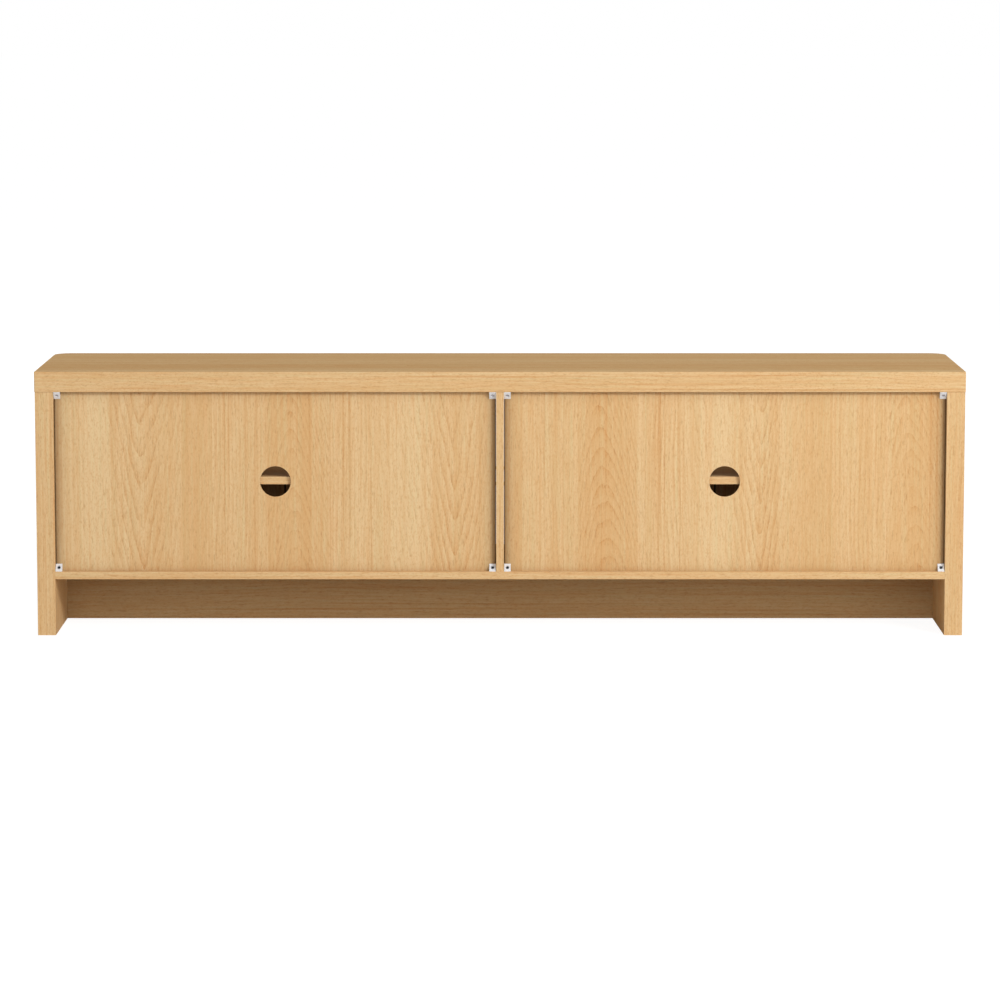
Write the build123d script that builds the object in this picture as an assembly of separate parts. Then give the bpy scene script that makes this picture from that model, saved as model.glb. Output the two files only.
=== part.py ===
from build123d import *
import os

# A low media cabinet: a thick top with two rounded front corners, two full-height end panels that
# stand on the floor, a bottom panel and a divider that make two bays, a shelf in each bay, two
# thin back panels with a round cable hole each, and four inset doors that turn on pivot pins.
# Millimetres. Origin: the middle of the footprint, on the floor. Seen from the front, +X is
# right and +Y is away, so the doors are at -Y and the back panels at +Y. +Z is up.

# ---- overall -------------------------------------------------------------------------------
WIDTH = 1800.0
DEPTH = 400.0
HEIGHT = 515.0
TOP_THICK = 40.0
TOP_OVERHANG = 1.0
CORNER_R = 35.0
SIDE_THICK = 35.0
SIDE_CORNER_R = 34.0
BOARD_THICK = 15.0
BOTTOM_TOP_Z = 125.0
EASING = 1.5
FINE_EASING = 0.6
BACK_CORNER_R = 2.0
FIT = 0.1
END_CLEARANCE = 0.5

# ---- planes that the boards share ----------------------------------------------------------
FRONT_Y = -DEPTH / 2
BACK_Y = DEPTH / 2
SLAB_Z = HEIGHT - TOP_THICK
SIDE_OUT_X = WIDTH / 2 - TOP_OVERHANG
SIDE_IN_X = SIDE_OUT_X - SIDE_THICK
BOTTOM_Z = BOTTOM_TOP_Z - BOARD_THICK
BOTTOM_MID_Z = (BOTTOM_Z + BOTTOM_TOP_Z) / 2
BOTTOM_SETBACK = 2.0
BOTTOM_FRONT_Y = FRONT_Y + BOTTOM_SETBACK
DIVIDER_X = BOARD_THICK / 2
BAY_WIDTH = SIDE_IN_X - DIVIDER_X
BAY_X = (SIDE_IN_X + DIVIDER_X) / 2
BAY_MID_Z = (SLAB_Z + BOTTOM_TOP_Z) / 2

# ---- stretcher under the bottom panel --------------------------------------------------------
STRETCHER_BACK_Y = -16.0
STRETCHER_MID_Y = STRETCHER_BACK_Y - BOARD_THICK / 2

# ---- back panels, their grooves, cable holes and wedge clips ---------------------------------
BACK_THICK = 5.0
BACK_RECESS = 12.0
BACK_REAR_Y = BACK_Y - BACK_RECESS
BACK_FRONT_Y = BACK_REAR_Y - BACK_THICK
BACK_SIDE_GAP = 2.0
BACK_LIP_GAP = 0.3
BACK_LIP_THICK = 1.5
GROOVE_GRIP = 5.0
GROOVE_DEPTH = 6.0
GROOVE_SLACK = 0.3
CABLE_HOLE_R = 30.0
CLIP_LENGTH = 12.6
CLIP_RISE = 14.0
CLIP_REACH = 10.5
CLIP_EDGE = 1.2
CLIP_WALL_GAP = 0.6
CLIP_POCKET_R = 3.6
CLIP_POCKET_DEPTH = 3.4
CLIP_SCREW = {"radius": 1.5, "length": 20.0, "head_radius": 2.8, "head_depth": 1.8}
CLIP_SCREW_SINK = 2.0

# ---- shelves and their pins ------------------------------------------------------------------
SHELF_FRONT_Y = -160.0
SHELF_BACK_GAP = 3.0
SHELF_BACK_Y = BACK_FRONT_Y - SHELF_BACK_GAP
SHELF_SIDE_GAP = 1.0
SHELF_ABOVE_MIDDLE = 1.0
SHELF_Z = BAY_MID_Z - BOARD_THICK / 2 + SHELF_ABOVE_MIDDLE
PIN_R = 2.5
PIN_DEPTH = 6.5
PIN_HOLE_DEPTH = 7.0
PIN_COLLAR_R = 4.0
PIN_COLLAR_THICK = 1.2
PIN_TONGUE_LENGTH = 10.0
PIN_TONGUE_WIDTH = 7.0
PIN_TONGUE_THICK = 2.5
PIN_RIB_LENGTH = 7.0
PIN_RIB_THICK = 1.6
PIN_PITCH = 32.0
PIN_ROWS = (-2, -1, 0, 1, 2)
PIN_YS = (-120.0, 140.0)
PIN_Z = SHELF_Z - PIN_R

# ---- knock-down joints: cam, bolt, dowel, screw ------------------------------------------------
CAM_R = 7.5
CAM_DEPTH = 12.5
CAM_UNDER_FACE = BOARD_THICK / 2
CAM_SETBACK = 34.0
CAM_BORE_R = 3.8
CAM_CROSS_R = 5.2
CAM_CROSS_DEPTH = 3.0
BOLT_HEAD_R = 3.4
BOLT_HEAD_LENGTH = 3.0
BOLT_NECK_R = 2.2
BOLT_SHANK_R = 3.0
BOLT_SHANK_LENGTH = 24.5
BOLT_CHANNEL_R = 4.0
BOLT_THREAD_R = 2.5
BOLT_THREAD_LENGTH = 11.0
CAM_YS = (-140.0, 0.0, 140.0)
DIVIDER_CAM_YS = (-120.0, 140.0)
STRETCHER_CAM_Z = 70.0
DOWEL_R = 4.0
DOWEL_LENGTH = 32.0
DOWEL_CHAMFER = 0.8
DOWEL_YS = (-75.0, 75.0)
STRETCHER_DOWEL_XS = (-640.0, -220.0, 220.0, 640.0)
STRETCHER_DOWEL_Z = 35.0
DOWEL_DROP = 6.0
DIVIDER_SCREW_YS = (-120.0, 20.0, 150.0)
DIVIDER_SCREW = {"radius": 2.5, "length": 45.0, "head_radius": 5.0, "head_depth": 3.0}
SMALL_SCREW = {"radius": 1.5, "length": 12.0, "head_radius": 2.8, "head_depth": 1.6}

# ---- doors and their pivots --------------------------------------------------------------------
DOOR_SETBACK = 12.0
DOOR_FRONT_Y = FRONT_Y + DOOR_SETBACK
DOOR_BACK_Y = DOOR_FRONT_Y + BOARD_THICK
DOOR_HINGE_GAP = 2.0
DOOR_MEETING_GAP = 3.0
DOOR_TOP_GAP = 3.0
DOOR_BOTTOM_GAP = 2.0
DOOR_TOP_Z = SLAB_Z - DOOR_TOP_GAP
DOOR_LOW_Z = BOTTOM_TOP_Z + DOOR_BOTTOM_GAP
DOOR_WIDTH = (BAY_WIDTH - DOOR_MEETING_GAP) / 2 - DOOR_HINGE_GAP
DOOR_EDGE_R = 2.0
DOOR_TOP_EDGE_R = 1.0
SEAL_THICK = 1.3
SEAL_DEPTH = 10.0
SEAL_BEHIND_FRONT = 2.5
SEAL_END_GAP = 1.0
SEAL_EDGE_R = 0.5
PIVOT_INSET = 8.0
PIVOT_BEHIND_FRONT = 6.0
PIVOT_Y = DOOR_FRONT_Y + PIVOT_BEHIND_FRONT
PIVOT_PIN_R = 2.5
PIVOT_PIN_DEPTH = 20.0
PIVOT_PIN_REACH = 10.0
PIVOT_COLLAR_R = 4.5
PIVOT_COLLAR_THICK = 0.95
BUSH_R = 5.0
BUSH_DEPTH = 9.0
BUSH_FLANGE_R = 7.0
BUSH_FLANGE_THICK = 1.0
BUSH_CLEARANCE = 0.05
BUSH_SEAT_CLEARANCE = 0.01

# ---- edge pulls, catches and strike plates -----------------------------------------------------
PULL_LENGTH = 110.0
PULL_FROM_FREE_EDGE = 55.0
PULL_THICK = 1.5
PULL_BEND_R = 1.2
PULL_REACH = 9.5
PULL_LIP_HEIGHT = 12.0
PULL_FLANGE_HEIGHT = 22.0
PULL_SCREW_INSET = 15.0
CATCH_LENGTH = 52.0
CATCH_DEPTH = 22.0
CATCH_HEIGHT = 13.0
CATCH_CORNER_R = 2.0
CATCH_EDGE_R = 1.0
CATCH_SCREW_GRIP = 10.0
MAGNET_OFFSET = 13.0
MAGNET_WIDTH = 15.0
MAGNET_HEIGHT = 7.0
MAGNET_DEPTH = 12.0
MAGNET_PROUD = 0.3
STRIKE_WIDTH = 18.0
STRIKE_HEIGHT = 10.0
STRIKE_THICK = 1.5
STRIKE_CORNER_R = 1.5
STRIKE_GAP = 0.2
CATCH_FRONT_Y = DOOR_BACK_Y + STRIKE_THICK + STRIKE_GAP + MAGNET_PROUD
CATCH_MID_Z = SLAB_Z - CATCH_HEIGHT / 2
CATCH_SCREW_INSET = 5.0

SIDES = {"left": -1, "right": 1}

# Each door: the X of its hinge edge, and the way from there to its free edge.
DOORS = {
    1: (-SIDE_IN_X + DOOR_HINGE_GAP, 1),
    2: (-DIVIDER_X - DOOR_HINGE_GAP, -1),
    3: (DIVIDER_X + DOOR_HINGE_GAP, 1),
    4: (SIDE_IN_X - DOOR_HINGE_GAP, -1),
}


# ---- small building blocks ---------------------------------------------------------------------
def block(low, high):
    """A box between two opposite corners."""
    size = [abs(b - a) for a, b in zip(low, high)]
    middle = [(a + b) / 2 for a, b in zip(low, high)]
    return Pos(*middle) * Box(*size)


def rod(start, direction, radius, length):
    """A round bar from a point, along a direction."""
    return Plane(origin=start, z_dir=direction) * Pos(0, 0, length / 2) * Cylinder(radius, length)


def cut(body, tools):
    """The body less every tool."""
    for tool in tools:
        body = body - tool
    return body


def screw(radius, length, head_radius, head_depth, slack=0.0):
    """A countersunk screw that hangs from z = 0, or with slack the hole for it."""
    head = Pos(0, 0, -head_depth / 2) * Cone(radius + slack, head_radius + slack, head_depth)
    shank = Pos(0, 0, -(head_depth + length) / 2) * Cylinder(radius + slack, length - head_depth)
    return head + shank


def cross_recess(head_radius, head_depth):
    """The driver's cross in a screw head whose top is at z = 0."""
    bar = Box(head_radius * 1.1, head_radius * 0.28, head_depth)
    return bar + Rot(0, 0, 90) * bar


def finished_screw(dims):
    """A screw with its driver's cross."""
    recess = cross_recess(dims["head_radius"], dims["head_depth"])
    return screw(**dims) - recess


def board(low, high, easing=FINE_EASING):
    """A flat panel whose edges are all lightly eased."""
    return fillet(block(low, high).edges(), easing)


# ---- places --------------------------------------------------------------------------------------
def cam_sites():
    """Planes at the seams: z runs into the board that takes the bolt, x out of the cam's face."""
    sites = []
    for sign in SIDES.values():
        inner_x = sign * SIDE_IN_X
        for y in CAM_YS:
            seam = (inner_x + sign * CAM_UNDER_FACE, y, SLAB_Z)
            sites.append(Plane(origin=seam, x_dir=(-sign, 0, 0), z_dir=(0, 0, 1)))
        for y in (CAM_YS[0], CAM_YS[-1]):
            seam = (inner_x, y, BOTTOM_MID_Z)
            sites.append(Plane(origin=seam, x_dir=(0, 0, -1), z_dir=(sign, 0, 0)))
        seam = (inner_x, STRETCHER_MID_Y, STRETCHER_CAM_Z)
        sites.append(Plane(origin=seam, x_dir=(0, -1, 0), z_dir=(sign, 0, 0)))
    for y in DIVIDER_CAM_YS:
        sites.append(Plane(origin=(0, y, SLAB_Z), x_dir=(1, 0, 0), z_dir=(0, 0, 1)))
    return sites


def dowel_sites():
    """Planes at the middle of each dowel, with z along it."""
    sites = []
    for sign in SIDES.values():
        side_mid_x = sign * (SIDE_IN_X + SIDE_THICK / 2)
        for y in DOWEL_YS:
            sites.append(Plane(origin=(side_mid_x, y, SLAB_Z), z_dir=(0, 0, 1)))
            sites.append(Plane(origin=(sign * SIDE_IN_X, y, BOTTOM_MID_Z), z_dir=(1, 0, 0)))
        end = (sign * SIDE_IN_X, STRETCHER_MID_Y, STRETCHER_DOWEL_Z)
        sites.append(Plane(origin=end, z_dir=(1, 0, 0)))
    for y in DOWEL_YS:
        sites.append(Plane(origin=(0, y, SLAB_Z), z_dir=(0, 0, 1)))
    for x in STRETCHER_DOWEL_XS:
        low_seam = (x, STRETCHER_MID_Y, BOTTOM_Z - DOWEL_DROP)
        sites.append(Plane(origin=low_seam, z_dir=(0, 0, 1)))
    return sites


def pin_sites(rows):
    """Planes at the mouths of the shelf-pin holes, with z out into the bay."""
    walls = [(-SIDE_IN_X, 1), (-DIVIDER_X, -1), (DIVIDER_X, 1), (SIDE_IN_X, -1)]
    return [
        Plane(origin=(x, y, PIN_Z + row * PIN_PITCH), x_dir=(0, way, 0), z_dir=(way, 0, 0))
        for x, way in walls
        for y in PIN_YS
        for row in rows
    ]


def pivot_x(number):
    """The X of a door's pivot axis."""
    hinge_x, way = DOORS[number]
    return hinge_x + way * PIVOT_INSET


def clip_planes(bay_sign):
    """For each corner of one back panel: the clip's end faces' lower X, and which way is up."""
    bay_low = bay_sign * BAY_X - BAY_WIDTH / 2
    starts = (
        bay_low + CLIP_WALL_GAP,
        bay_low + BAY_WIDTH - CLIP_WALL_GAP - CLIP_LENGTH,
    )
    return [(x, up) for x in starts for up in (1, -1)]


def clip_screw_plane(start_x, up):
    """The plane on a clip's slope, at its middle, with z out of the slope."""
    seat_z = BOTTOM_TOP_Z if up > 0 else SLAB_Z
    low = Vector(0, BACK_REAR_Y + CLIP_REACH, seat_z + up * CLIP_EDGE)
    high = Vector(0, BACK_REAR_Y + CLIP_EDGE, seat_z + up * CLIP_RISE)
    along = high - low
    outward = Vector(0, abs(along.Z), up * abs(along.Y))
    middle = (low + high) * 0.5 + Vector(start_x + CLIP_LENGTH / 2, 0, 0)
    return Plane(origin=middle, x_dir=(1, 0, 0), z_dir=outward)


def all_clip_screw_planes():
    """The slope planes of all eight clips."""
    return [
        clip_screw_plane(x, up)
        for sign in SIDES.values()
        for x, up in clip_planes(sign)
    ]


# ---- holes that the hardware needs ---------------------------------------------------------------
def cam_holes():
    """For each cam joint: the cam's pocket with the bolt's channel, and the bolt's thread."""
    holes = []
    for site in cam_sites():
        pocket = Pos(CAM_UNDER_FACE - CAM_DEPTH, 0, -CAM_SETBACK) * Rot(0, 90, 0)
        pocket = pocket * Pos(0, 0, CAM_DEPTH / 2) * Cylinder(CAM_R, CAM_DEPTH)
        channel = Pos(0, 0, -CAM_SETBACK / 2) * Cylinder(BOLT_CHANNEL_R, CAM_SETBACK)
        thread_depth = BOLT_THREAD_LENGTH + END_CLEARANCE
        thread = Pos(0, 0, thread_depth / 2) * Cylinder(BOLT_THREAD_R + FIT, thread_depth)
        holes.append(site * (pocket + channel + thread))
    return holes


def dowel_holes():
    """A hole right round each dowel, a little longer than it."""
    length = DOWEL_LENGTH + 2 * END_CLEARANCE
    return [site * Cylinder(DOWEL_R + FIT, length) for site in dowel_sites()]


def bush_holes():
    """The seats of the pivot bushes, above and below every door."""
    holes = []
    for number in DOORS:
        x = pivot_x(number)
        depth = BUSH_DEPTH + 2 * END_CLEARANCE
        holes.append(rod((x, PIVOT_Y, SLAB_Z), (0, 0, 1), BUSH_R, depth))
        holes.append(rod((x, PIVOT_Y, BOTTOM_TOP_Z), (0, 0, -1), BUSH_R, depth))
    return holes


def pin_holes():
    """Rows of shelf-pin holes, drilled out of both walls of both bays."""
    hole = Pos(0, 0, -PIN_HOLE_DEPTH / 2) * Cylinder(PIN_R + FIT, PIN_HOLE_DEPTH)
    return [site * hole for site in pin_sites(PIN_ROWS)]


def clip_screw_holes():
    """The diagonal holes that the clip screws pass through."""
    hole = Pos(0, 0, -CLIP_SCREW_SINK) * screw(**CLIP_SCREW, slack=FIT)
    return [plane * hole for plane in all_clip_screw_planes()]


def divider_screw_sites():
    """Planes under the bottom panel, with z down, where the divider's screws go in."""
    return [
        Plane(origin=(0, y, BOTTOM_Z), x_dir=(1, 0, 0), z_dir=(0, 0, -1))
        for y in DIVIDER_SCREW_YS
    ]


def divider_screw_holes():
    """Countersunk holes through the bottom panel into the divider."""
    return [site * screw(**DIVIDER_SCREW, slack=FIT) for site in divider_screw_sites()]


def catch_screw_sites():
    """Planes in the catches' undersides, with z down."""
    mid_y = CATCH_FRONT_Y + CATCH_DEPTH - CATCH_SCREW_INSET
    offset = CATCH_LENGTH / 2 - CATCH_SCREW_INSET
    return [
        Plane(origin=(sign * BAY_X + way * offset, mid_y, SLAB_Z - CATCH_HEIGHT), z_dir=(0, 0, -1))
        for sign in SIDES.values()
        for way in (-1, 1)
    ]


def catch_screw_dims():
    """The catches' screws: through the housing and into the top."""
    return {**SMALL_SCREW, "length": CATCH_HEIGHT + CATCH_SCREW_GRIP}


def catch_screw_holes():
    """Holes for the catches' screws."""
    return [site * screw(**catch_screw_dims(), slack=FIT) for site in catch_screw_sites()]


# ---- carcass boards ------------------------------------------------------------------------------
def back_groove(seat_z, way):
    """The groove that grips a back panel's edge, one for each bay."""
    tools = []
    for sign in SIDES.values():
        low = (sign * BAY_X - BAY_WIDTH / 2, BACK_FRONT_Y - GROOVE_SLACK, seat_z)
        high = (
            sign * BAY_X + BAY_WIDTH / 2,
            BACK_REAR_Y + GROOVE_SLACK,
            seat_z + way * GROOVE_DEPTH,
        )
        tools.append(block(low, high))
    return tools


def top_slab():
    """The top: rounded front corners in plan, and every outer edge eased."""
    outline = Rectangle(WIDTH, DEPTH)
    outline = fillet(outline.vertices().sort_by(Axis.Y)[:2], CORNER_R)
    outline = fillet(outline.vertices().sort_by(Axis.Y)[-2:], BACK_CORNER_R)
    slab = Pos(0, 0, SLAB_Z) * extrude(outline, TOP_THICK)
    rims = slab.faces().sort_by(Axis.Z)[0].edges() + slab.faces().sort_by(Axis.Z)[-1].edges()
    slab = fillet(rims, EASING)
    tools = back_groove(SLAB_Z, 1) + cam_holes() + dowel_holes() + bush_holes()
    return cut(slab, tools + clip_screw_holes() + catch_screw_holes())


def side_panel(sign):
    """An end panel: its outer front edge follows the top's rounded corner."""
    low_y = FRONT_Y + TOP_OVERHANG
    outline = Pos((SIDE_IN_X + SIDE_OUT_X) / 2, (low_y + BACK_Y) / 2)
    outline = outline * Rectangle(SIDE_THICK, BACK_Y - low_y)
    corners = outline.vertices().sort_by(Axis.Y)
    outer_front = corners[:2].sort_by(Axis.X)[-1]
    outline = fillet(outer_front, SIDE_CORNER_R)
    square = [v for v in outline.vertices() if v.Y > BACK_Y - 1]
    outline = fillet(square, FINE_EASING)
    panel = extrude(outline, SLAB_Z)
    if sign < 0:
        panel = mirror(panel, Plane.YZ)
    return cut(panel, cam_holes() + dowel_holes() + pin_holes())


def bottom_panel():
    """The bottom panel, between the end panels."""
    panel = block((-SIDE_IN_X, BOTTOM_FRONT_Y, BOTTOM_Z), (SIDE_IN_X, BACK_Y, BOTTOM_TOP_Z))
    long_edges = panel.edges().filter_by(Axis.X)
    panel = fillet(long_edges, FINE_EASING)
    tools = back_groove(BOTTOM_TOP_Z, -1) + cam_holes() + dowel_holes() + bush_holes()
    return cut(panel, tools + clip_screw_holes() + divider_screw_holes())


def divider():
    """The upright between the two bays."""
    panel = block((-DIVIDER_X, DOOR_FRONT_Y, BOTTOM_TOP_Z), (DIVIDER_X, BACK_Y, SLAB_Z))
    panel = fillet(panel.edges().filter_by(Axis.Z), FINE_EASING)
    return cut(panel, cam_holes() + dowel_holes() + pin_holes() + divider_screw_holes())


def stretcher():
    """The board on edge under the bottom panel, down to the floor."""
    low = (-SIDE_IN_X, STRETCHER_BACK_Y - BOARD_THICK, 0)
    panel = block(low, (SIDE_IN_X, STRETCHER_BACK_Y, BOTTOM_Z))
    panel = fillet(panel.edges().filter_by(Axis.X).sort_by(Axis.Z)[:2], FINE_EASING)
    return cut(panel, cam_holes() + dowel_holes())


def back_panel(sign):
    """A thin back panel with its cable hole. A lip on its front closes the gaps beside it."""
    middle = sign * BAY_X
    low_z, high_z = BOTTOM_TOP_Z - GROOVE_GRIP, SLAB_Z + GROOVE_GRIP
    layers = ((BACK_SIDE_GAP, BACK_REAR_Y), (BACK_LIP_GAP, BACK_FRONT_Y + BACK_LIP_THICK))
    panels = []
    for gap, rear_y in layers:
        half = BAY_WIDTH / 2 - gap
        low = (middle - half, BACK_FRONT_Y, low_z)
        panels.append(block(low, (middle + half, rear_y, high_z)))
    hole = rod((middle, BACK_FRONT_Y, BAY_MID_Z), (0, 1, 0), CABLE_HOLE_R, BACK_THICK)
    return cut(panels[0] + panels[1], [hole] + clip_screw_holes())


def shelf(sign):
    """A shelf that lies on four pins."""
    half = BAY_WIDTH / 2 - SHELF_SIDE_GAP
    middle = sign * BAY_X
    low = (middle - half, SHELF_FRONT_Y, SHELF_Z)
    return board(low, (middle + half, SHELF_BACK_Y, SHELF_Z + BOARD_THICK))


# ---- hardware of the carcass -----------------------------------------------------------------------
def wedge_clip(start_x, up):
    """A plastic wedge in a corner behind a back panel, with a pocket for its screw's head."""
    seat_z = BOTTOM_TOP_Z if up > 0 else SLAB_Z
    profile = [
        (BACK_REAR_Y, seat_z),
        (BACK_REAR_Y + CLIP_REACH, seat_z),
        (BACK_REAR_Y + CLIP_REACH, seat_z + up * CLIP_EDGE),
        (BACK_REAR_Y + CLIP_EDGE, seat_z + up * CLIP_RISE),
        (BACK_REAR_Y, seat_z + up * CLIP_RISE),
    ]
    face = make_face(Polyline([(start_x, y, z) for y, z in profile], close=True))
    wedge = extrude(face, CLIP_LENGTH, dir=(1, 0, 0))
    plane = clip_screw_plane(start_x, up)
    pocket = plane * Pos(0, 0, -CLIP_POCKET_DEPTH / 2) * Cylinder(CLIP_POCKET_R, CLIP_POCKET_DEPTH)
    hole = plane * Pos(0, 0, -CLIP_SCREW_SINK) * screw(**CLIP_SCREW, slack=FIT)
    return wedge - pocket - hole


def back_clips(sign):
    """The four wedges that hold one back panel."""
    return [wedge_clip(x, up) for x, up in clip_planes(sign)]


def clip_screws():
    """One screw for each wedge."""
    piece = Pos(0, 0, -CLIP_SCREW_SINK) * finished_screw(CLIP_SCREW)
    return [plane * piece for plane in all_clip_screw_planes()]


def cam_lock():
    """A cam: a short drum with the bolt's mouth in its rim and a driver's cross in its face."""
    height = CAM_DEPTH - END_CLEARANCE
    cross = cross_recess(CAM_CROSS_R, CAM_CROSS_DEPTH)
    drum = Cylinder(CAM_R - FIT, height) - Pos(0, 0, height / 2) * cross
    drum = Pos(CAM_UNDER_FACE - height / 2, 0, -CAM_SETBACK) * Rot(0, 90, 0) * drum
    reach = CAM_R + CAM_BORE_R
    mouth = Pos(0, 0, -CAM_SETBACK - CAM_BORE_R + reach / 2) * Cylinder(CAM_BORE_R, reach)
    return drum - mouth


def cam_bolt():
    """A cam bolt: head in the cam, neck, shank across the seam, thread in the other board."""
    head = Pos(0, 0, -CAM_SETBACK) * Cylinder(BOLT_HEAD_R, BOLT_HEAD_LENGTH)
    neck = Pos(0, 0, -CAM_SETBACK / 2) * Cylinder(BOLT_NECK_R, CAM_SETBACK)
    shank = Pos(0, 0, -BOLT_SHANK_LENGTH / 2) * Cylinder(BOLT_SHANK_R, BOLT_SHANK_LENGTH)
    thread = Pos(0, 0, BOLT_THREAD_LENGTH / 2) * Cylinder(BOLT_THREAD_R, BOLT_THREAD_LENGTH)
    return head + neck + shank + thread


def dowel():
    """A beech dowel with chamfered ends."""
    pin = Cylinder(DOWEL_R, DOWEL_LENGTH)
    return chamfer(pin.edges().filter_by(GeomType.CIRCLE), DOWEL_CHAMFER)


def shelf_pin():
    """A shelf pin: stem in the hole, collar on the wall, tongue under the shelf."""
    stem = Pos(0, 0, -PIN_DEPTH / 2) * Cylinder(PIN_R, PIN_DEPTH)
    collar = Pos(0, 0, PIN_COLLAR_THICK / 2) * Cylinder(PIN_COLLAR_R, PIN_COLLAR_THICK)
    under_shelf = block((-PIN_COLLAR_R, -PIN_COLLAR_R, 0), (PIN_COLLAR_R, PIN_R, PIN_COLLAR_THICK))
    collar = collar & under_shelf
    half = PIN_TONGUE_WIDTH / 2
    tongue_low_y = PIN_R - PIN_TONGUE_THICK
    tongue = block((-half, tongue_low_y, 0), (half, PIN_R, PIN_TONGUE_LENGTH))
    rib = block((-PIN_RIB_THICK / 2, -PIN_R, 0), (PIN_RIB_THICK / 2, tongue_low_y, PIN_RIB_LENGTH))
    return stem + collar + tongue + rib


def pivot_bush():
    """A flanged nylon bush below z = 0, with its flange above."""
    body = Pos(0, 0, -BUSH_DEPTH / 2) * Cylinder(BUSH_R - BUSH_SEAT_CLEARANCE, BUSH_DEPTH)
    flange = Pos(0, 0, BUSH_FLANGE_THICK / 2) * Cylinder(BUSH_FLANGE_R, BUSH_FLANGE_THICK)
    length = BUSH_DEPTH + BUSH_FLANGE_THICK
    bore_z = (BUSH_FLANGE_THICK - BUSH_DEPTH) / 2
    bore = Pos(0, 0, bore_z) * Cylinder(PIVOT_PIN_R + BUSH_CLEARANCE, length)
    return body + flange - bore


def pivot_bushes():
    """A bush above and below every door."""
    bushes = []
    for number in DOORS:
        x = pivot_x(number)
        bushes.append(Pos(x, PIVOT_Y, BOTTOM_TOP_Z) * pivot_bush())
        bushes.append(Pos(x, PIVOT_Y, SLAB_Z) * Rot(180, 0, 0) * pivot_bush())
    return bushes


def magnet_block(middle_x, way, slack=0.0):
    """One of the two magnets in a catch, or with slack the pocket for it."""
    x = middle_x + way * MAGNET_OFFSET
    half_x = MAGNET_WIDTH / 2 + slack
    half_z = MAGNET_HEIGHT / 2 + slack
    back_y = CATCH_FRONT_Y + MAGNET_DEPTH - MAGNET_PROUD + slack
    return block(
        (x - half_x, CATCH_FRONT_Y - MAGNET_PROUD, CATCH_MID_Z - half_z),
        (x + half_x, back_y, CATCH_MID_Z + half_z),
    )


def catch_housing(sign):
    """The housing of a double magnetic catch, under the top where two doors meet."""
    middle = sign * BAY_X
    low = (middle - CATCH_LENGTH / 2, CATCH_FRONT_Y, SLAB_Z - CATCH_HEIGHT)
    high = (middle + CATCH_LENGTH / 2, CATCH_FRONT_Y + CATCH_DEPTH, SLAB_Z)
    body = block(low, high)
    body = fillet(body.edges().filter_by(Axis.Z), CATCH_CORNER_R)
    body = fillet(body.faces().sort_by(Axis.Z)[0].edges(), CATCH_EDGE_R)
    pockets = [magnet_block(middle, way, FIT) for way in (-1, 1)]
    return cut(body, pockets + catch_screw_holes())


# ---- doors ---------------------------------------------------------------------------------------
def door_span(number, near, far):
    """The low and high X of a stretch of a door, measured from its free edge."""
    hinge_x, way = DOORS[number]
    free_x = hinge_x + way * DOOR_WIDTH
    return sorted((free_x - way * near, free_x - way * far))


def pull_span(number):
    """The low and high X of a door's pull."""
    return door_span(number, PULL_FROM_FREE_EDGE, PULL_FROM_FREE_EDGE + PULL_LENGTH)


def pull_screw_sites(number):
    """Planes on the back of the pull's flange, with z out to the back."""
    low_x, high_x = pull_span(number)
    y = DOOR_BACK_Y + PULL_THICK
    z = DOOR_TOP_Z - PULL_FLANGE_HEIGHT / 2
    xs = (low_x + PULL_SCREW_INSET, high_x - PULL_SCREW_INSET)
    return [Plane(origin=(x, y, z), x_dir=(1, 0, 0), z_dir=(0, 1, 0)) for x in xs]


def strike_middle(number):
    """The middle of a door's strike plate, on the door's back face."""
    hinge_x, way = DOORS[number]
    bay_middle = BAY_X if hinge_x > 0 else -BAY_X
    return bay_middle - way * MAGNET_OFFSET


def strike_screw_site(number):
    """The plane on a strike plate's face, with z out to the back."""
    origin = (strike_middle(number), DOOR_BACK_Y + STRIKE_THICK, CATCH_MID_Z)
    return Plane(origin=origin, x_dir=(1, 0, 0), z_dir=(0, 1, 0))


def door(number):
    """An inset door, drilled for its pivot pins and its screws."""
    hinge_x, way = DOORS[number]
    low_x, high_x = sorted((hinge_x, hinge_x + way * DOOR_WIDTH))
    leaf = block((low_x, DOOR_FRONT_Y, DOOR_LOW_Z), (high_x, DOOR_BACK_Y, DOOR_TOP_Z))
    leaf = fillet(leaf.edges().filter_by(Axis.Z).sort_by(Axis.Y)[:2], DOOR_EDGE_R)
    leaf = fillet(leaf.faces().sort_by(Axis.Y)[0].edges().filter_by(Axis.X), DOOR_TOP_EDGE_R)
    x = pivot_x(number)
    tools = [
        rod((x, PIVOT_Y, DOOR_LOW_Z), (0, 0, 1), PIVOT_PIN_R + FIT, PIVOT_PIN_DEPTH),
        rod((x, PIVOT_Y, DOOR_TOP_Z), (0, 0, -1), PIVOT_PIN_R + FIT, PIVOT_PIN_DEPTH),
    ]
    tools += [site * screw(**SMALL_SCREW, slack=FIT) for site in pull_screw_sites(number)]
    tools.append(strike_screw_site(number) * screw(**SMALL_SCREW, slack=FIT))
    return cut(leaf, tools)


def edge_seal(number):
    """The soft strip down a door's free edge, which nearly closes the gap to the next door."""
    hinge_x, way = DOORS[number]
    free_x = hinge_x + way * DOOR_WIDTH
    front_y = DOOR_FRONT_Y + SEAL_BEHIND_FRONT
    low = (free_x, front_y, DOOR_LOW_Z + SEAL_END_GAP)
    high = (free_x + way * SEAL_THICK, front_y + SEAL_DEPTH, DOOR_TOP_Z - SEAL_END_GAP)
    strip = block(low, high)
    upright = strip.edges().filter_by(Axis.Z).sort_by(Axis.X)
    outer = upright[2:] if way > 0 else upright[:2]
    return fillet(outer, SEAL_EDGE_R)


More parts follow.
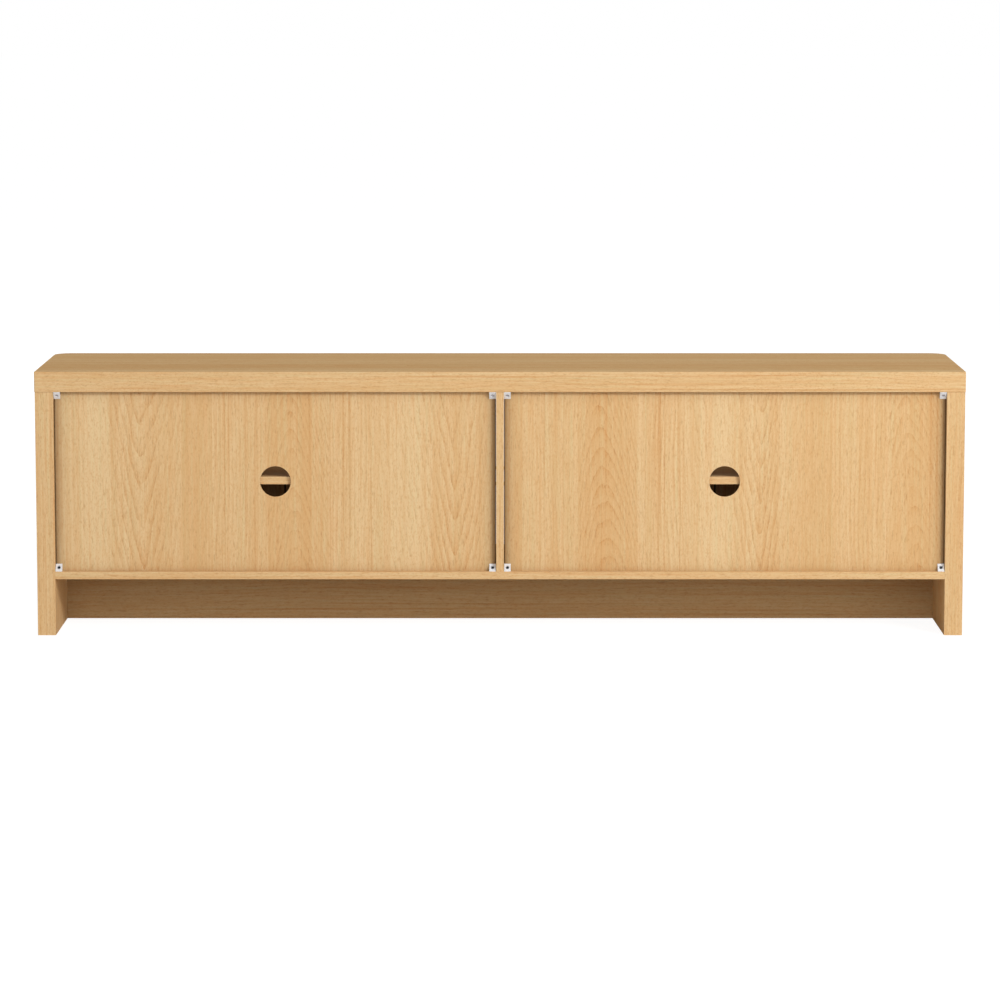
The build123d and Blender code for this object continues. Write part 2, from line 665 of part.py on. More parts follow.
def pivot_pin():
    """A pivot pin: stem in the door above z = 0, collar and journal below."""
    stem_length = PIVOT_PIN_DEPTH - END_CLEARANCE
    stem = Pos(0, 0, stem_length / 2) * Cylinder(PIVOT_PIN_R, stem_length)
    collar = Pos(0, 0, -PIVOT_COLLAR_THICK / 2) * Cylinder(PIVOT_COLLAR_R, PIVOT_COLLAR_THICK)
    journal = Pos(0, 0, -PIVOT_PIN_REACH / 2) * Cylinder(PIVOT_PIN_R, PIVOT_PIN_REACH)
    return stem + collar + journal


def pivot_pins(number):
    """The door's lower and upper pins."""
    x = pivot_x(number)
    return [
        Pos(x, PIVOT_Y, DOOR_LOW_Z) * pivot_pin(),
        Pos(x, PIVOT_Y, DOOR_TOP_Z) * Rot(180, 0, 0) * pivot_pin(),
    ]


def edge_pull(number):
    """A pull bent from strip: flange on the door's back, over its top edge, lip in front."""
    low_x, high_x = pull_span(number)
    top_z = DOOR_TOP_Z + PULL_THICK
    back_y = DOOR_BACK_Y + PULL_THICK
    lip_y = DOOR_FRONT_Y - PULL_REACH
    flange = block((low_x, DOOR_BACK_Y, DOOR_TOP_Z - PULL_FLANGE_HEIGHT), (high_x, back_y, top_z))
    bridge = block((low_x, lip_y, DOOR_TOP_Z), (high_x, back_y, top_z))
    lip = block((low_x, lip_y, top_z - PULL_LIP_HEIGHT), (high_x, lip_y + PULL_THICK, top_z))
    strip = flange + bridge + lip
    bends = strip.edges().filter_by(Axis.X).filter_by_position(Axis.Z, top_z - 0.1, top_z + 0.1)
    strip = fillet(bends, PULL_BEND_R)
    holes = [site * screw(**SMALL_SCREW, slack=FIT) for site in pull_screw_sites(number)]
    return cut(strip, holes)


def strike_plate(number):
    """The steel plate on a door's back that its magnet holds."""
    x = strike_middle(number)
    plate = block(
        (x - STRIKE_WIDTH / 2, DOOR_BACK_Y, CATCH_MID_Z - STRIKE_HEIGHT / 2),
        (x + STRIKE_WIDTH / 2, DOOR_BACK_Y + STRIKE_THICK, CATCH_MID_Z + STRIKE_HEIGHT / 2),
    )
    plate = fillet(plate.edges().filter_by(Axis.Y), STRIKE_CORNER_R)
    return plate - strike_screw_site(number) * screw(**SMALL_SCREW, slack=FIT)


# ---- everything, by node name --------------------------------------------------------------------
def carcass_nodes():
    """The boards and hardware that stand still."""
    nodes = {
        "top_slab": [top_slab()],
        "bottom_panel": [bottom_panel()],
        "divider": [divider()],
        "stretcher": [stretcher()],
        "clip_screws": clip_screws(),
        "cam_locks": [site * cam_lock() for site in cam_sites()],
        "cam_bolts": [site * cam_bolt() for site in cam_sites()],
        "dowels": [site * dowel() for site in dowel_sites()],
        "divider_screws": [site * finished_screw(DIVIDER_SCREW) for site in divider_screw_sites()],
        "shelf_pins": [site * shelf_pin() for site in pin_sites((0,))],
        "pivot_bushes": pivot_bushes(),
        "catch_housings": [catch_housing(sign) for sign in SIDES.values()],
        "catch_magnets": [
            magnet_block(sign * BAY_X, way) for sign in SIDES.values() for way in (-1, 1)
        ],
        "catch_screws": [
            site * finished_screw(catch_screw_dims()) for site in catch_screw_sites()
        ],
    }
    for name, sign in SIDES.items():
        nodes[f"side_panel_{name}"] = [side_panel(sign)]
        nodes[f"back_panel_{name}"] = [back_panel(sign)]
        nodes[f"shelf_{name}"] = [shelf(sign)]
        nodes[f"back_clips_{name}"] = back_clips(sign)
    return nodes


def door_nodes(number):
    """One door with all that turns with it."""
    strike_site = strike_screw_site(number)
    return {
        f"door_{number}": [door(number)],
        f"edge_seal_{number}": [edge_seal(number)],
        f"pivot_pins_{number}": pivot_pins(number),
        f"edge_pull_{number}": [edge_pull(number)],
        f"pull_screws_{number}": [
            site * finished_screw(SMALL_SCREW) for site in pull_screw_sites(number)
        ],
        f"strike_plate_{number}": [strike_plate(number)],
        f"strike_screw_{number}": [strike_site * finished_screw(SMALL_SCREW)],
    }


def main():
    """Write one STEP file for each node."""
    os.makedirs("parts", exist_ok=True)
    nodes = carcass_nodes()
    for number in DOORS:
        nodes.update(door_nodes(number))
    for name, pieces in nodes.items():
        solids = [solid for piece in pieces for solid in piece.solids()]
        export_step(Compound(children=solids), f"parts/{name}.step")


main()
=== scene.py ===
"""A light-oak media cabinet, seen from behind on a plain white floor.

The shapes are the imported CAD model's own. This script gives every node a procedural finish, sets
the studio light and the camera, and adds the floor. Metres, in the CAD model's frame: +X is to
the right seen from the doors' side, +Y is the back, +Z is up.
"""

import math

import bpy
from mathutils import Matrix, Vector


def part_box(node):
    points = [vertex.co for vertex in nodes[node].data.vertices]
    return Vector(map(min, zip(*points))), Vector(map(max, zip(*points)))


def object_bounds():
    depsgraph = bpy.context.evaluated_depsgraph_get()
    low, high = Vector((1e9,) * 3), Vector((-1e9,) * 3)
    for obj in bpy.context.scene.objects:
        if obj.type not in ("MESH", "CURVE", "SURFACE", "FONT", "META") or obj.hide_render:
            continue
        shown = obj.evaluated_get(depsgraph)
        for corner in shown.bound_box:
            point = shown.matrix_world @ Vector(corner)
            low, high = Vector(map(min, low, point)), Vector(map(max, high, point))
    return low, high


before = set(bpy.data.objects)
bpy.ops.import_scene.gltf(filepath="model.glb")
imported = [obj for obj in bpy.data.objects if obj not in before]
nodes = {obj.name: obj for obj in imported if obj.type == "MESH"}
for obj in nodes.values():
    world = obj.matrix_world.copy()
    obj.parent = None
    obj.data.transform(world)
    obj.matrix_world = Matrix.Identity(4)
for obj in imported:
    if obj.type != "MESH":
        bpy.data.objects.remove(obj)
cad_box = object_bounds()

# ---- finishes ----------------------------------------------------------------------------------
OAK_PALE = (0.820, 0.594, 0.325)
OAK_WARM = (0.730, 0.455, 0.208)
OAK_LINE = (0.630, 0.288, 0.090)
OAK_PORE = (0.450, 0.190, 0.060)
OAK_ROSE = (0.760, 0.452, 0.206)
OAK_STRAW = (0.725, 0.575, 0.305)

# One sheet of the oak finish: strips side by side, each as (its end across the sheet in metres,
# how pale it is), then over again.
SHEET_REPEAT = 0.601
SHEET_BOARDS = (
    (0.026, 0.58),
    (0.085, 0.95),
    (0.150, 0.66),
    (0.225, 0.42),
    (0.283, 0.16),
    (0.335, 0.56),
    (0.391, 0.44),
    (0.430, 0.16),
    (0.475, 0.02),
    (0.509, 0.26),
    (0.555, 0.62),
    (0.601, 0.72),
)
# The part of the sheet with arches, its middle, their lean and their spacing along the grain.
ARCH_BOARD = (0.391, 0.509)
ARCH_MIDDLE = 0.459
ARCH_LEAN = 0.063
ARCH_SPACING = 0.036
# The same for the arches that point down.
VEE_BOARD_END = 0.283
VEE_MIDDLE = 0.149
VEE_SPACING = 0.062
LINE_SPACING = 0.0078

# Each layer of noise in the oak: how quickly it changes along and across the grain, per metre,
# where it is cut from the noise, its detail and its roughness.
OAK_LAYERS = {
    "wander": (2.0, 9.0, 1.7, 1.0, 0.5),
    "jitter": (9.0, 60.0, 5.2, 2.0, 0.5),
    "bands": (0.9, 48.0, 9.1, 1.0, 0.5),
    "streaks": (4.5, 240.0, 3.3, 2.0, 0.6),
    "fibres": (26.0, 620.0, 7.9, 1.0, 0.5),
    "specks": (85.0, 560.0, 2.4, 1.0, 0.5),
    "flecks": (210.0, 430.0, 6.6, 1.0, 0.5),
    "threads": (1.3, 190.0, 7.1, 0.0, 0.5),
    "broken": (26.0, 210.0, 4.4, 1.0, 0.5),
    "strength": (3.0, 30.0, 4.4, 0.0, 0.5),
    "tint": (3.5, 170.0, 8.8, 2.0, 0.65),
}

# How strongly a board's pores and the glue line beside its banding show, and that line's width.
PORE_INK = 0.34
JOINT_INK = 0.22
JOINT_WIDTH = 0.14

OAK_SPECULAR = 0.05
OAK_ROUGHNESS = 0.52
OAK_RELIEF = 0.00006
# Painted shade on the stretcher, out of sight under the cabinet: how far its colour is darkened at
# the floor and at its top.
PAINTED_UNDER_SHADE_LOW = 0.20
PAINTED_UNDER_SHADE_HIGH = 0.35
# A surface faces an axis when that part of its direction is above this.
FACING = 0.7

# Painted shade in the back panels' corners (its colour also darkens the stretcher),
# and the distance in which it fades, in metres.
PAINTED_SHADE_COLOR = (0.050, 0.025, 0.010)
CORNER_FADE = 0.010
CORNER_SIDE = 0.76
CORNER_LOW = 0.22
CORNER_HIGH = 0.30


# ---- numbers worked out by a shader ------------------------------------------------------------
class Num:
    """A number inside a shader. Sums and products of these add Math nodes to its tree."""

    def __init__(self, tree, socket):
        self.tree = tree
        self.socket = socket

    def math(self, operation, *others):
        node = self.tree.nodes.new("ShaderNodeMath")
        node.operation = operation
        for socket, value in zip(node.inputs, (self, *others)):
            feed(self.tree, socket, value)
        return Num(self.tree, node.outputs[0])

    def __add__(self, other):
        return self.math("ADD", other)

    def __sub__(self, other):
        return self.math("SUBTRACT", other)

    def __mul__(self, other):
        return self.math("MULTIPLY", other)

    def __truediv__(self, other):
        return self.math("DIVIDE", other)

    def __pow__(self, other):
        return self.math("POWER", other)

    __radd__ = __add__
    __rmul__ = __mul__

    def __rsub__(self, other):
        return (self * -1.0) + other

    def above(self, limit):
        return self.math("GREATER_THAN", limit)

    def below(self, limit):
        return self.math("LESS_THAN", limit)

    def fract(self):
        return self.math("FRACT")

    def size(self):
        return self.math("ABSOLUTE")

    def clamp(self):
        node = self.tree.nodes.new("ShaderNodeClamp")
        feed(self.tree, node.inputs["Value"], self)
        return Num(self.tree, node.outputs[0])

    def ramp(self, low, high):
        """0 below low, 1 above high, and straight between."""
        return ((self - low) / (high - low)).clamp()

    def pick(self, when_zero, when_one):
        """One of two numbers, by whether this one is 0 or 1, or what lies between them."""
        return when_zero + (when_one - when_zero) * self


def feed(tree, socket, value):
    """Set a socket to a plain value, or link it to what gives the value."""
    if isinstance(value, Num):
        value = value.socket
    if isinstance(value, bpy.types.NodeSocket):
        tree.links.new(value, socket)
    elif isinstance(value, tuple) and len(value) == 3 and socket.type == "RGBA":
        socket.default_value = (*value, 1.0)
    else:
        socket.default_value = value


def vector(tree, x, y, z):
    """Three numbers as one vector."""
    node = tree.nodes.new("ShaderNodeCombineXYZ")
    for socket, value in zip(node.inputs, (x, y, z)):
        feed(tree, socket, value)
    return node.outputs[0]


def noise(tree, place, detail=1.0, roughness=0.5, scale=1.0):
    """Smooth noise about 0, mostly within 0.3 each way."""
    node = tree.nodes.new("ShaderNodeTexNoise")
    feed(tree, node.inputs["Vector"], place)
    node.inputs["Scale"].default_value = scale
    node.inputs["Detail"].default_value = detail
    node.inputs["Roughness"].default_value = roughness
    return Num(tree, node.outputs["Fac"]) - 0.5


def blend(tree, amount, first, second):
    """A colour between two others."""
    node = tree.nodes.new("ShaderNodeMix")
    node.data_type = "RGBA"
    feed(tree, node.inputs[0], amount)
    feed(tree, node.inputs[6], first)
    feed(tree, node.inputs[7], second)
    return node.outputs[2]


def steps(tree, place, levels):
    """A number that keeps one level up to each end, for ends and places from 0 to 1."""
    node = tree.nodes.new("ShaderNodeValToRGB")
    ramp = node.color_ramp
    ramp.interpolation = "CONSTANT"
    start = 0.0
    for index, (end, level) in enumerate(levels):
        stop = ramp.elements[index] if index < 1 else ramp.elements.new(start)
        stop.color = (level, level, level, 1.0)
        start = end
    ramp.elements.remove(ramp.elements[-1])
    feed(tree, node.inputs[0], place)
    return Num(tree, node.outputs[0])


# ---- the oak figure ------------------------------------------------------------------------------
def oak_group():
    """The oak finish from a point's places along and across the grain, in metres.

    Figure is 1 on a board's big faces, which show the sheet of boards with their arches, and 0 on
    its edges, which are banded with one plain strip. Stretch shortens the arches."""
    tree = bpy.data.node_groups.new("oak", "ShaderNodeTree")
    for name in ("Along", "Across", "Figure", "Stretch"):
        tree.interface.new_socket(name, in_out="INPUT", socket_type="NodeSocketFloat")
    tree.interface.new_socket("Color", in_out="OUTPUT", socket_type="NodeSocketColor")
    for name in ("Height", "Roughness"):
        tree.interface.new_socket(name, in_out="OUTPUT", socket_type="NodeSocketFloat")
    given = tree.nodes.new("NodeGroupInput")
    along, across, figure, stretch = [Num(tree, socket) for socket in given.outputs[:4]]
    sheet = (across / SHEET_REPEAT).fract() * SHEET_REPEAT

    def layer(name):
        along_rate, across_rate, cut, detail, roughness = OAK_LAYERS[name]
        place = vector(tree, along * along_rate, across * across_rate, cut)
        return noise(tree, place, detail, roughness)

    # Slow and quick wanderings of the growth lines.
    wander = layer("wander")
    jitter = layer("jitter")

    # Arches that point up, leaning a little.
    offset = (sheet - ARCH_MIDDLE) + along * ARCH_LEAN
    arch = (((offset / 0.044) ** 2.0 + 1.0) ** 0.5 - 1.0) * 8.0
    rise = along * stretch
    arches = (rise / ARCH_SPACING + arch + wander * 3.2 + jitter * 0.8).fract() ** 3.0 * 0.75

    # Looser, darker arches that point down, clearest near their middle.
    offset = (sheet - VEE_MIDDLE) + wander * 0.03
    vee = (((offset / 0.007) ** 2.0 + 1.0) ** 0.5 - 1.0) * 0.60
    fade = 1.0 - offset.size().ramp(0.015, 0.080) * 0.72
    vees = (vee - rise / VEE_SPACING + wander * 3.0 + jitter * 0.9).fract() ** 2.2 * fade

    # Straight lines, close together.
    straight = (across / LINE_SPACING + wander * 6.0 + jitter * 0.8).fract() ** 2.5

    in_arch = sheet.above(ARCH_BOARD[0]) * sheet.below(ARCH_BOARD[1]) * figure
    in_vee = sheet.below(VEE_BOARD_END) * figure
    lines = in_vee.pick(in_arch.pick(straight * 0.55, arches), vees)

    # Broad bands, streaks a few millimetres wide, fine fibres, short dark pores and flecks.
    bands = layer("bands")
    streaks = layer("streaks")
    fibres = layer("fibres")
    pores = (layer("specks") + lines * 0.12).ramp(0.10, 0.26)
    flecks = layer("flecks").ramp(0.00, 0.28)
    threads = layer("threads").ramp(0.14, 0.30)
    strength = layer("strength") * 1.6 + layer("broken") * 2.4 + 0.75

    levels = [(end / SHEET_REPEAT, pale) for end, pale in SHEET_BOARDS]
    board = steps(tree, sheet / SHEET_REPEAT, levels)
    paleness = figure.pick(0.45, board) + bands * 0.95 + streaks * 0.9 + fibres * 1.2
    color = blend(tree, paleness.clamp(), OAK_WARM, OAK_PALE)
    tint = layer("tint")
    color = blend(tree, tint.ramp(0.02, 0.26) * 0.65, color, OAK_ROSE)
    color = blend(tree, (tint * -1.0).ramp(0.02, 0.26) * 0.50, color, OAK_STRAW)
    ink = lines * strength * 0.46 + threads * (0.40 - in_vee * 0.28) + flecks * 0.36
    color = blend(tree, ink.clamp(), color, OAK_LINE)
    color = blend(tree, pores * PORE_INK, color, OAK_PORE)

    result = tree.nodes.new("NodeGroupOutput")
    feed(tree, result.inputs["Color"], color)
    feed(tree, result.inputs["Height"], fibres * 0.5 - lines * 0.25 - pores)
    feed(tree, result.inputs["Roughness"], streaks * 0.15 + pores * 0.12 + lines * 0.04)
    return tree


def new_material(name):
    """An empty node material, with its shader."""
    material = bpy.data.materials.new(name)
    material.use_nodes = True
    tree = material.node_tree
    tree.nodes.clear()
    output = tree.nodes.new("ShaderNodeOutputMaterial")
    shader = tree.nodes.new("ShaderNodeBsdfPrincipled")
    tree.links.new(shader.outputs[0], output.inputs["Surface"])
    return material, tree, shader


def bump(tree, shader, height, distance, strength=1.0):
    """Relief on a surface, in metres."""
    node = tree.nodes.new("ShaderNodeBump")
    node.inputs["Strength"].default_value = strength
    node.inputs["Distance"].default_value = distance
    feed(tree, node.inputs["Height"], height)
    tree.links.new(node.outputs[0], shader.inputs["Normal"])


def place_and_normal(tree):
    """A point's place and its surface's direction in the object, each by axis letter."""
    source = tree.nodes.new("ShaderNodeTexCoord")
    found = []
    for name in ("Object", "Normal"):
        split = tree.nodes.new("ShaderNodeSeparateXYZ")
        tree.links.new(source.outputs[name], split.inputs[0])
        found.append({axis: Num(tree, split.outputs[axis]) for axis in "XYZ"})
    return found


def flat_board(tree, face, grain):
    """Places along and across a flat board's grain, and 1 on its two big faces.

    face is the axis of its thickness and grain the axis that its grain runs along. Its long edges
    and its ends are banded with grain that runs along them."""
    place, normal = place_and_normal(tree)
    width = next(axis for axis in "XYZ" if axis not in (face, grain))
    on_face = normal[face].size().above(FACING)
    on_end = normal[grain].size().above(FACING)
    along = on_end.pick(place[grain], place[width])
    across = on_face.pick(place[face], place[width])
    return along, across, on_face, normal[face].size()


def top_board(tree):
    """The same for the top, whose banding follows its rounded corners."""
    place, normal = place_and_normal(tree)
    on_face = normal["Z"].size().above(FACING)
    turn = place["X"].ramp(0.5, 0.86) - (place["X"] * -1.0).ramp(0.5, 0.86)
    around = place["X"] + place["Y"] * turn
    along = on_face.pick(around, place["X"])
    across = on_face.pick(place["Z"], place["Y"])
    return along, across, on_face, normal["Z"].size()


def side_board(tree):
    """The same for an end panel, whose outer face runs round its front corner."""
    place, normal = place_and_normal(tree)
    on_face = normal["Y"].below(FACING)
    across = place["Y"] + place["X"].size()
    return place["Z"], across, on_face, normal["X"].size()


def painted_corner_shade(tree):
    """Painted shade on the back panels: how far their colour is darkened beside the walls that hold
    them, above the bottom and below the top.
    """
    place, _ = place_and_normal(tree)
    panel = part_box("back_panel_right")
    from_middle = place["X"].size()
    near = (from_middle - panel[0][0]).math("MINIMUM", panel[1][0] - from_middle)
    low = place["Z"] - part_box("bottom_panel")[1][2]
    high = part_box("top_slab")[0][2] - place["Z"]
    shades = (near, CORNER_SIDE), (low, CORNER_LOW), (high, CORNER_HIGH)
    depths = [(gap / -CORNER_FADE).math("EXPONENT") * depth for gap, depth in shades]
    return (depths[0] + depths[1] + depths[2]).clamp()


def upright_board(tree):
    """A board that stands facing the back, with upright grain."""
    return flat_board(tree, "Y", "Z")


def back_board(tree):
    """The same, laid out as it is seen from behind."""
    along, across, on_face, facing = upright_board(tree)
    return along, across * -1.0, on_face, facing


def level_board(tree):
    """A board that lies flat, with grain along the cabinet."""
    return flat_board(tree, "Z", "X")


def dividing_board(tree):
    """A board that stands facing the ends, with upright grain."""
    return flat_board(tree, "X", "Z")


def edge_board(tree):
    """A board that stands on its long edge, with grain along the cabinet."""
    return flat_board(tree, "Y", "X")


def painted_under_shade(tree):
    """Painted shade on the stretcher: how far its colour is darkened, more at its top under the
    cabinet than at the floor.
    """
    place, _ = place_and_normal(tree)
    height = place["Z"].ramp(0.0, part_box("bottom_panel")[0][2])
    return height.pick(PAINTED_UNDER_SHADE_LOW, PAINTED_UNDER_SHADE_HIGH)


def oak(name, layout, start, gloss=0.0, stretch=1.0, plain=0.0, shade=None, shine=OAK_SPECULAR):
    """An oak finish for one board. start moves the pattern along and across it, stretch shortens
    its arches, plain hides them, and shade, when given, is painted shade: how far the colour is
    darkened towards a shade colour."""
    material, tree, shader = new_material(name)
    along, across, on_face, facing = layout(tree)
    group = tree.nodes.new("ShaderNodeGroup")
    group.node_tree = OAK
    feed(tree, group.inputs["Along"], along + start[0])
    feed(tree, group.inputs["Across"], across + start[1])
    feed(tree, group.inputs["Figure"], on_face * (1.0 - plain))
    feed(tree, group.inputs["Stretch"], stretch)
    # The glue line where a face meets its banding.
    joint = 1.0 - ((facing - FACING).size() / JOINT_WIDTH).clamp()
    color = blend(tree, joint * JOINT_INK, group.outputs["Color"], OAK_PORE)
    # Painted shade: the colour is darkened towards a shade colour where shade falls.
    if shade:
        color = blend(tree, shade(tree), color, PAINTED_SHADE_COLOR)
    feed(tree, shader.inputs["Base Color"], color)
    rough = Num(tree, group.outputs["Roughness"]) + (OAK_ROUGHNESS - gloss)
    feed(tree, shader.inputs["Roughness"], rough)
    shader.inputs["Specular IOR Level"].default_value = shine
    bump(tree, shader, group.outputs["Height"], OAK_RELIEF, 0.6)
    return material


# ---- the small parts' finishes -------------------------------------------------------------------
def speckled(name, color, other, grain, rough, metallic=0.0, relief=0.00002):
    """Moulded, cast or plated: fine mottling between two colours, with a fine relief."""
    material, tree, shader = new_material(name)
    source = tree.nodes.new("ShaderNodeTexCoord").outputs["Object"]
    fine = noise(tree, source, 3.0, 0.6, grain)
    broad = noise(tree, source, 2.0, 0.5, grain * 0.08)
    amount = (fine * 1.1 + broad * 1.4 + 0.5).clamp()
    feed(tree, shader.inputs["Base Color"], blend(tree, amount, color, other))
    feed(tree, shader.inputs["Roughness"], fine * 0.12 + broad * 0.25 + rough)
    shader.inputs["Metallic"].default_value = metallic
    bump(tree, shader, fine, relief, 0.8)
    return material


def brushed(name, color, other, axis, rough):
    """Rolled or drawn metal: fine scratches along one axis."""
    material, tree, shader = new_material(name)
    place, _ = place_and_normal(tree)
    scales = {letter: 2600.0 for letter in "XYZ"}
    scales[axis] = 90.0
    scaled = vector(tree, *[place[letter] * scales[letter] for letter in "XYZ"])
    scratches = noise(tree, scaled, 2.0, 0.6)
    broad = noise(tree, vector(tree, *[place[letter] * 120.0 for letter in "XYZ"]), 2.0)
    amount = (scratches * 1.2 + broad + 0.5).clamp()
    feed(tree, shader.inputs["Base Color"], blend(tree, amount, color, other))
    feed(tree, shader.inputs["Roughness"], scratches * 0.2 + broad * 0.15 + rough)
    shader.inputs["Metallic"].default_value = 1.0
    bump(tree, shader, scratches, 0.00001, 0.5)
    return material


def clip_steel():
    """The clips' screws: dark steel, made pale at the top clips as a painted reflection of the
    bright light above.
    """
    material = speckled("clip_steel", (0.10, 0.10, 0.11), (0.05, 0.05, 0.06), 1800.0, 0.30, 1.0)
    tree = material.node_tree
    shader = next(node for node in tree.nodes if node.bl_idname == "ShaderNodeBsdfPrincipled")
    dark = shader.inputs["Base Color"].links[0].from_socket
    place, _ = place_and_normal(tree)
    # Painted reflection: screws above the shelves are made pale, as if they mirrored the light
    # above.
    painted_reflection = blend(tree, place["Z"].above(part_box("shelf_left")[1][2]), dark, (0.62, 0.60, 0.62))
    feed(tree, shader.inputs["Base Color"], painted_reflection)
    return material


# ---- which node has which finish -----------------------------------------------------------------
def cover(names, material):
    """Give nodes a material in every slot they have."""
    for name in names:
        for slot in nodes[name].material_slots:
            slot.material = material


def cover_boards():
    """The oak boards. Both back panels are cut from one sheet, and so are the four doors."""
    top = oak("oak_top", top_board, (0.31, 0.354), gloss=0.10, stretch=0.3, shine=0.0)
    cover(["top_slab"], top)
    for side, start in (("left", (0.12, 0.05)), ("right", (0.77, 0.41))):
        cover([f"side_panel_{side}"], oak(f"oak_side_{side}", side_board, start, gloss=0.06))
    # The back panels get painted shade beside the walls and along their bottom and top.
    backs = oak("oak_back", back_board, (0.0, 0.842), shade=painted_corner_shade)
    cover(["back_panel_left", "back_panel_right"], backs)
    doors = [f"door_{number}" for number in range(1, 5)]
    cover(doors, oak("oak_door", upright_board, (0.21, 0.93), gloss=0.06))
    bottom = oak("oak_bottom", level_board, (0.5, 0.13), gloss=0.04, stretch=0.3)
    cover(["bottom_panel"], bottom)
    for side, start in (("left", (1.3, 0.44)), ("right", (2.1, 0.27))):
        shelf = oak(f"oak_shelf_{side}", level_board, start, gloss=0.04, stretch=0.3)
        cover([f"shelf_{side}"], shelf)
    cover(["divider"], oak("oak_divider", dividing_board, (0.4, 0.37), gloss=0.04))
    # The stretcher gets painted shade, darker towards its top under the cabinet.
    stretcher = oak(
        "oak_stretcher", edge_board, (0.9, 0.30), stretch=0.3, plain=1.0, shade=painted_under_shade
    )
    cover(["stretcher"], stretcher)


def cover_hardware():
    """Plastics, metals and dowels."""
    white = speckled("white_plastic", (0.87, 0.88, 0.90), (0.80, 0.81, 0.83), 900.0, 0.42)
    nylon = speckled("nylon", (0.74, 0.72, 0.66), (0.68, 0.66, 0.60), 700.0, 0.38)
    zinc = speckled("zinc", (0.45, 0.45, 0.46), (0.36, 0.36, 0.37), 1400.0, 0.42, 1.0)
    steel = speckled("screw_steel", (0.56, 0.56, 0.55), (0.44, 0.44, 0.44), 1800.0, 0.30, 1.0)
    nickel = brushed("nickel", (0.66, 0.63, 0.59), (0.56, 0.54, 0.51), "Z", 0.24)
    magnet = brushed("magnet", (0.23, 0.23, 0.24), (0.16, 0.16, 0.17), "X", 0.46)
    black = speckled(
        "black_metal", (0.022, 0.022, 0.023), (0.034, 0.034, 0.034), 2400.0, 0.46, 0.0, 0.00006
    )
    rubber = speckled(
        "edge_rubber", (0.060, 0.045, 0.036), (0.045, 0.034, 0.028), 1600.0, 0.72, 0.0, 0.00003
    )
    beech = oak("beech_dowel", upright_board, (0.0, 0.3), plain=1.0)
    by_slot = {
        "white_plastic": white,
        "nylon": nylon,
        "zinc": zinc,
        "screw_steel": steel,
        "nickel": nickel,
        "magnet": magnet,
        "black_metal": black,
        "edge_rubber": rubber,
        "beech_dowel": beech,
    }
    for name, node in nodes.items():
        slot_names = {slot.name.split(".")[0] for slot in node.material_slots}
        for slot_name in slot_names & set(by_slot):
            cover([name], by_slot[slot_name])
    cover(["clip_screws"], clip_steel())


# ---- floor, light and camera --------------------------------------------------------------------
FLOOR_HALF = 60.0
# The floor's own light, which only the camera sees, and its greys for the camera and for light.
FLOOR_GLOW = 0.93
FLOOR_SEEN = (0.2, 0.2, 0.2, 1.0)
FLOOR_LIT = (0.75, 0.75, 0.75, 1.0)
# How strong the light from all round is at the horizon and overhead.
SKY_LOW = 0.63
SKY_HIGH = 0.22
# The lamps inside each bay: name, height and power.
BAY_LAMPS = (("upper", 0.42, 0.055), ("lower", 0.20, 0.015))
BAY_LAMP_RADIUS = 0.05

CAMERA_LENS = 148.46
CAMERA_PLACE = (0.0, 8.129, 1.267)
CAMERA_PITCH = 7.2


def add_floor():
    """A plain white floor that keeps a faint shadow."""
    ways = ((-1, -1), (1, -1), (1, 1), (-1, 1))
    corners = [(x * FLOOR_HALF, y * FLOOR_HALF, 0.0) for x, y in ways]
    mesh = bpy.data.meshes.new("floor")
    mesh.from_pydata(corners, [], [(0, 1, 2, 3)])
    floor = bpy.data.objects.new("floor", mesh)
    bpy.context.scene.collection.objects.link(floor)

    material, tree, shader = new_material("floor")
    shader.inputs["Roughness"].default_value = 0.9
    shader.inputs["Base Color"].default_value = FLOOR_LIT
    glow = tree.nodes.new("ShaderNodeEmission")
    glow.inputs["Strength"].default_value = FLOOR_GLOW
    matt = tree.nodes.new("ShaderNodeBsdfDiffuse")
    matt.inputs["Color"].default_value = FLOOR_SEEN
    seen = tree.nodes.new("ShaderNodeAddShader")
    tree.links.new(glow.outputs[0], seen.inputs[0])
    tree.links.new(matt.outputs[0], seen.inputs[1])
    rays = tree.nodes.new("ShaderNodeLightPath")
    choice = tree.nodes.new("ShaderNodeMixShader")
    tree.links.new(rays.outputs["Is Camera Ray"], choice.inputs[0])
    tree.links.new(shader.outputs[0], choice.inputs[1])
    tree.links.new(seen.outputs[0], choice.inputs[2])
    output = next(node for node in tree.nodes if node.bl_idname == "ShaderNodeOutputMaterial")
    tree.links.new(choice.outputs[0], output.inputs["Surface"])
    mesh.materials.append(material)


def add_world():
    """White behind the floor's edge, and soft light from all round, more from the sides."""
    world = bpy.data.worlds.new("studio")
    bpy.context.scene.world = world
    world.use_nodes = True
    tree = world.node_tree
    back = tree.nodes["Background"]
    back.inputs["Color"].default_value = (1.0, 1.0, 1.0, 1.0)
    rays = tree.nodes.new("ShaderNodeLightPath")
    seen = Num(tree, rays.outputs["Is Camera Ray"])
    split = tree.nodes.new("ShaderNodeSeparateXYZ")
    tree.links.new(tree.nodes.new("ShaderNodeTexCoord").outputs["Generated"], split.inputs[0])
    height = Num(tree, split.outputs["Z"]).clamp()
    feed(tree, back.inputs["Strength"], seen.pick(height.pick(SKY_LOW, SKY_HIGH), 1.0))


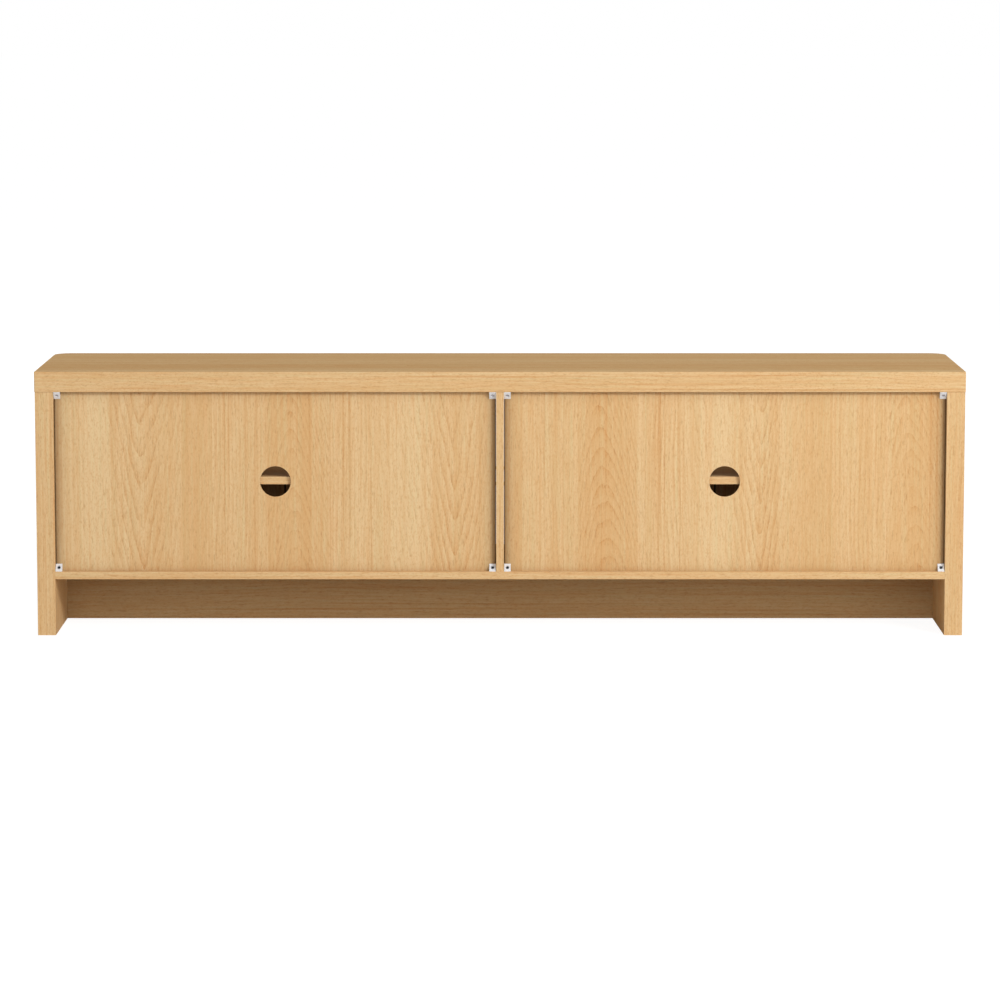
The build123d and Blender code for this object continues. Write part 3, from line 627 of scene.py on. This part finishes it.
def add_light(name, azimuth, elevation, distance, size, power):
    """A softbox. Its azimuth is turned from the back, +Y, towards the left end, -X."""
    light = bpy.data.lights.new(name, "AREA")
    light.shape = "RECTANGLE"
    light.size, light.size_y = size
    light.energy = power
    lamp = bpy.data.objects.new(name, light)
    bpy.context.scene.collection.objects.link(lamp)
    turn, lift = math.radians(azimuth), math.radians(elevation)
    middle = (cad_box[0] + cad_box[1]) / 2
    flat = distance * math.cos(lift)
    lamp.location = (-flat * math.sin(turn), flat * math.cos(turn), distance * math.sin(lift))
    lamp.rotation_euler = (lamp.location - middle).to_track_quat("Z", "Y").to_euler()
    lamp.visible_camera = False


def add_lamp(name, place, radius, power):
    """A small round lamp."""
    light = bpy.data.lights.new(name, "POINT")
    light.shadow_soft_size = radius
    light.energy = power
    lamp = bpy.data.objects.new(name, light)
    bpy.context.scene.collection.objects.link(lamp)
    lamp.location = place
    lamp.visible_camera = False


def light_bays():
    """Dim light inside the closed bays, which only their cable holes let out."""
    for side in ("left", "right"):
        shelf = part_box(f"shelf_{side}")
        middle = (shelf[0][0] + shelf[1][0]) / 2
        for level, height, power in BAY_LAMPS:
            add_lamp(f"{level}_{side}", (middle, 0.0, height), BAY_LAMP_RADIUS, power)


def add_camera():
    """The photograph's viewpoint: behind the cabinet, a little above it."""
    camera = bpy.data.cameras.new("camera")
    camera.lens = CAMERA_LENS
    camera.sensor_width = 36.0
    camera.clip_end = 400.0
    viewer = bpy.data.objects.new("camera", camera)
    bpy.context.scene.collection.objects.link(viewer)
    viewer.location = CAMERA_PLACE
    viewer.rotation_euler = (math.radians(90.0 - CAMERA_PITCH), 0.0, math.radians(180.0))
    bpy.context.scene.camera = viewer


OAK = oak_group()
cover_boards()
cover_hardware()
add_floor()
add_world()
add_light("key", 38.0, 27.0, 8.0, (2.0, 1.5), 302.0)
add_light("fill", 0.0, 18.0, 7.0, (4.0, 2.0), 62.0)
add_light("front", 205.0, 25.0, 8.0, (3.0, 2.0), 130.0)
light_bays()
add_camera()
bpy.context.scene.view_settings.view_transform = "Standard"
